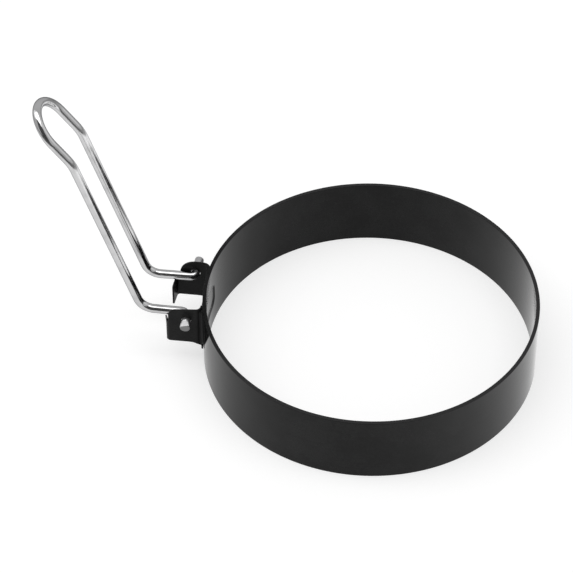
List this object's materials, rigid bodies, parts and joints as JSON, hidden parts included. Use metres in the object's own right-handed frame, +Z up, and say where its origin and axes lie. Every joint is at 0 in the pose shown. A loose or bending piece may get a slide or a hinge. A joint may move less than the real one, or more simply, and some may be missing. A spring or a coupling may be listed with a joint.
{
  "type": "egg ring",
  "caption": "Round black egg ring with a folding bright wire handle that turns in a bent sheet bracket on the band's side.",
  "frame": {"origin": "on the ground, under the middle of the whole object's bounding box", "axes": "+Z up along the band's axis, the handle leans out towards -X, the hinge axis runs along Y"},
  "size_m": [0.1316, 0.089, 0.0788],
  "materials": {
    "black_coating": "smooth satin black non-stick coating on steel",
    "black_bracket_coating": "satin black non-stick coating on steel sheet",
    "bright_chrome": "bright drawn and plated wire"
  },
  "bodies": {
    "ring": {"ring_band": "black_coating", "hinge_bracket": "black_bracket_coating"},
    "handle": {"wire_handle": "bright_chrome"}
  },
  "joints": [
    {"name": "handle_fold", "type": "hinge", "parent": "ring", "child": "handle", "pos_m": [-0.02678, 0, 0.01525], "axis": [0, 1, 0], "range_deg": [0, 117]}
  ]
}
